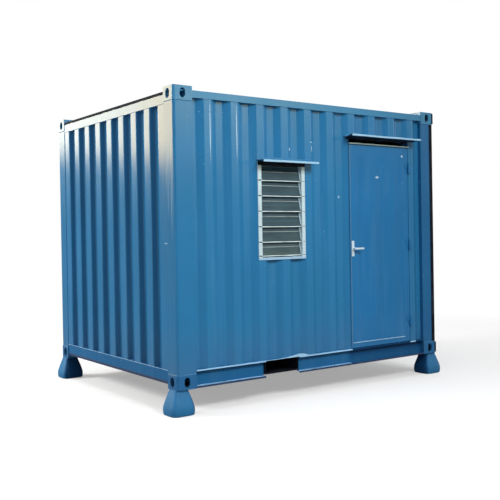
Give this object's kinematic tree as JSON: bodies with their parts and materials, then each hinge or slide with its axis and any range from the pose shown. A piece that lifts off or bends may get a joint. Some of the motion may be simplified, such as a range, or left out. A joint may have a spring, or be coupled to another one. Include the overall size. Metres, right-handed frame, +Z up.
{
  "type": "portable site cabin",
  "caption": "Steel site cabin the size of a short shipping container, with corrugated walls, a hinged door, a glass louvre window under sheet hoods, and tapered feet under its corner castings.",
  "frame": {"origin": "on the ground under the middle of the bounding box, level with the soles of the feet", "axes": "+X along the length, to the right as seen from outside the door; -Y is the side with the door and the window; +Z up"},
  "size_m": [3.103, 2.565, 2.643],
  "materials": {
    "cabin_paint": "gloss paint, weathered",
    "roof_paint": "gloss paint, dusty",
    "casting_paint": "gloss paint on cast steel",
    "foot_paint": "faded paint",
    "frame_paint": "dark underbody paint",
    "door_paint": "gloss paint",
    "door_trim": "pale satin paint",
    "floor_wood": "oiled plywood",
    "window_alloy": "mill finish",
    "window_glass": "grey green glass",
    "lock_steel": "satin steel"
  },
  "bodies": {
    "cabin": {"foot_front_left": "foot_paint", "foot_front_right": "foot_paint", "foot_rear_left": "foot_paint", "foot_rear_right": "foot_paint", "casting_bottom_front_left": "casting_paint", "casting_bottom_front_right": "casting_paint", "casting_bottom_rear_left": "casting_paint", "casting_bottom_rear_right": "casting_paint", "casting_top_front_left": "casting_paint", "casting_top_front_right": "casting_paint", "casting_top_rear_left": "casting_paint", "casting_top_rear_right": "casting_paint", "post_front_left": "cabin_paint", "post_front_right": "cabin_paint", "post_rear_left": "cabin_paint", "post_rear_right": "cabin_paint", "top_rail_front": "cabin_paint", "top_rail_rear": "cabin_paint", "top_rail_left": "cabin_paint", "top_rail_right": "cabin_paint", "bottom_rail_front": "cabin_paint", "bottom_rail_rear": "cabin_paint", "bottom_rail_left": "cabin_paint", "bottom_rail_right": "cabin_paint", "floor_bearers": "frame_paint", "fork_pocket": "frame_paint", "floor_boards": "floor_wood", "roof_sheet": "roof_paint", "wall_left": "cabin_paint", "wall_right": "cabin_paint", "wall_rear": "cabin_paint", "wall_front_left": "cabin_paint", "wall_under_window": "cabin_paint", "wall_over_window": "cabin_paint", "wall_front_middle": "cabin_paint", "wall_over_door": "cabin_paint", "wall_front_right": "cabin_paint", "window_frame": "window_alloy", "window_blades": "window_glass", "window_hood": "cabin_paint", "door_jamb_lock": "door_paint", "door_jamb_hinge": "door_paint", "door_head": "door_trim", "door_hood": "cabin_paint", "hinge_bases": "door_paint"},
    "door": {"door_leaf": "door_paint", "hinge_knuckles": "door_paint", "lock_plates": "lock_steel"},
    "lever": {"lever": "lock_steel"}
  },
  "joints": [
    {"name": "door_swing", "type": "hinge", "parent": "cabin", "child": "door", "pos_m": [1.132, -1.187, 1.255], "axis": [0, 0, 1], "range_deg": [0, 170]},
    {"name": "lever_turn", "type": "hinge", "parent": "door", "child": "lever", "pos_m": [0.3905, -1.1745, 1.292], "axis": [0, 1, 0], "range_deg": [0, 45], "stiffness_Nm_per_rad": 2, "springref_deg": -20.05}
  ]
}
